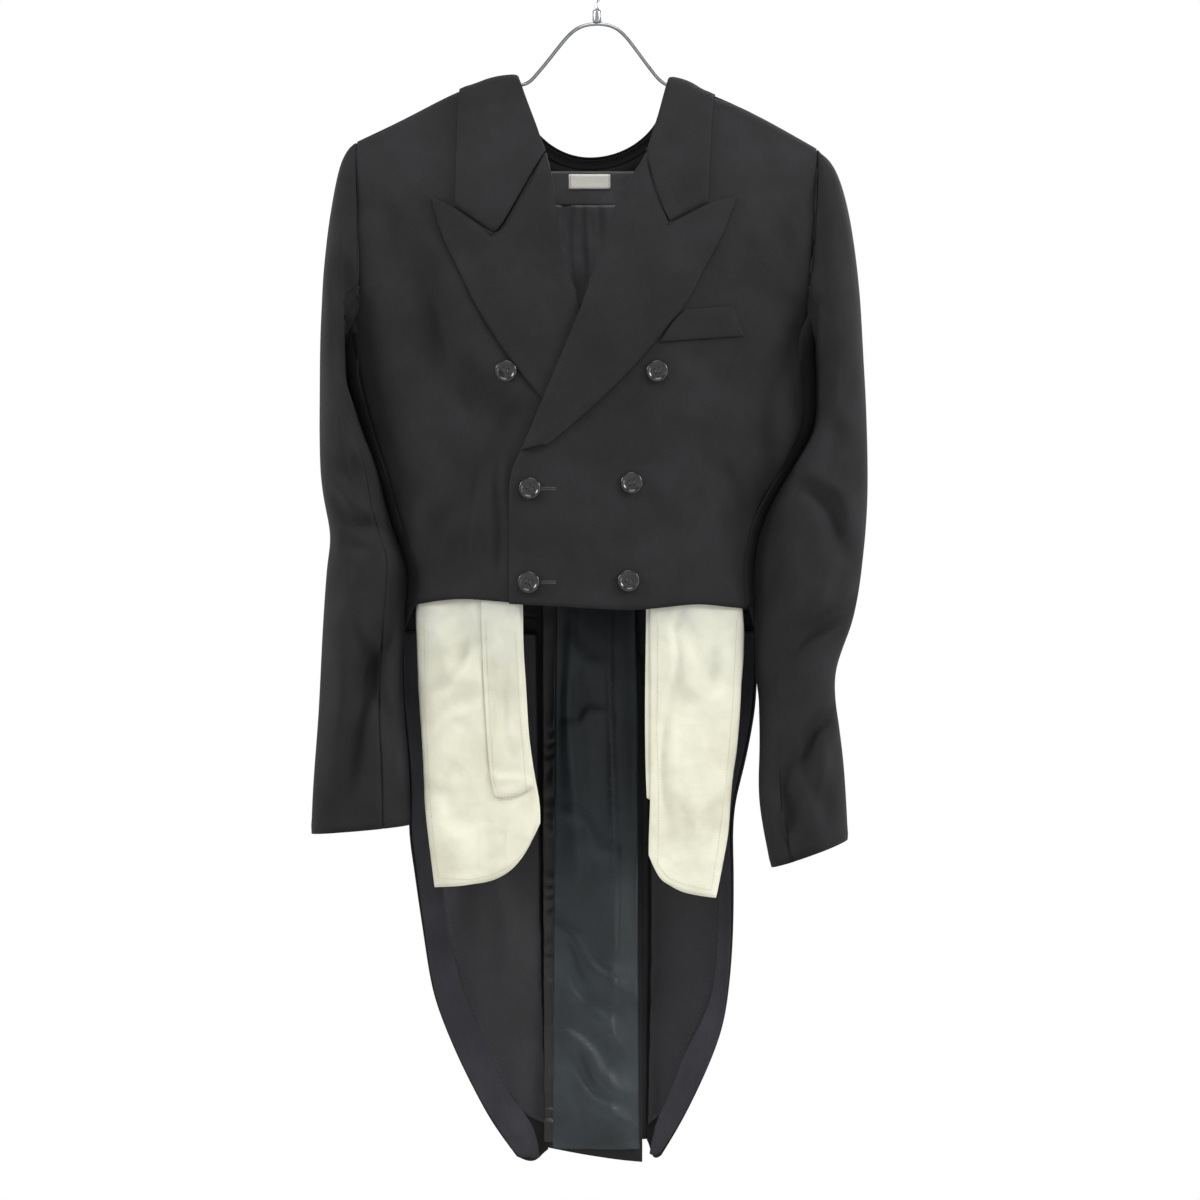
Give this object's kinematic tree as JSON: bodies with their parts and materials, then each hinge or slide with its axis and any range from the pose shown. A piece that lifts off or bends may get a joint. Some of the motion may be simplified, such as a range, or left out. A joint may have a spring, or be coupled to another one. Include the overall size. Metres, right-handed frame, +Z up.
{
  "type": "tailcoat on a wire hanger",
  "caption": "Double-breasted peak-lapel tailcoat, open in front below the waist, with loose pocket bags, hanging on a thin wire hanger.",
  "frame": {"origin": "the inside top of the hanger's hook, where a rail carries it", "axes": "+Z up, the coat's front faces -Y and the wearer's left is at +X"},
  "size_m": [0.5203, 0.1475, 1.157],
  "materials": {
    "worsted": "matte fine wool, near black",
    "satin": "soft sheen, greenish black",
    "pocketing": "matte plain cotton, ivory",
    "button": "polished, near black",
    "chrome": "bright plated wire"
  },
  "bodies": {
    "root": {"back_left": "worsted", "back_lining": "satin", "back_right": "worsted", "button_middle_left": "button", "button_middle_right": "button", "button_top_left": "button", "button_top_right": "button", "button_waist_left": "button", "button_waist_right": "button", "collar_fall": "worsted", "collar_stand": "worsted", "front_left": "worsted", "front_right": "worsted", "hanger_collar": "chrome", "hanger_hook": "chrome", "hanger_wire": "chrome", "lapel_left": "worsted", "lapel_right": "worsted", "neck_facing": "worsted", "neck_label": "pocketing", "pocket_bag_left": "pocketing", "pocket_bag_right": "pocketing", "pocket_layer_left": "pocketing", "pocket_layer_right": "pocketing", "side_body_left": "worsted", "side_body_right": "worsted", "skirt_left": "worsted", "skirt_right": "worsted", "tail_facing_left": "worsted", "tail_facing_right": "worsted", "tail_lining_left": "satin", "tail_lining_right": "satin", "topsleeve_left": "worsted", "topsleeve_right": "worsted", "undersleeve_left": "worsted", "undersleeve_right": "worsted", "vent_lining": "satin", "vent_pleat": "satin", "welt_pocket": "worsted"}
  },
  "joints": []
}
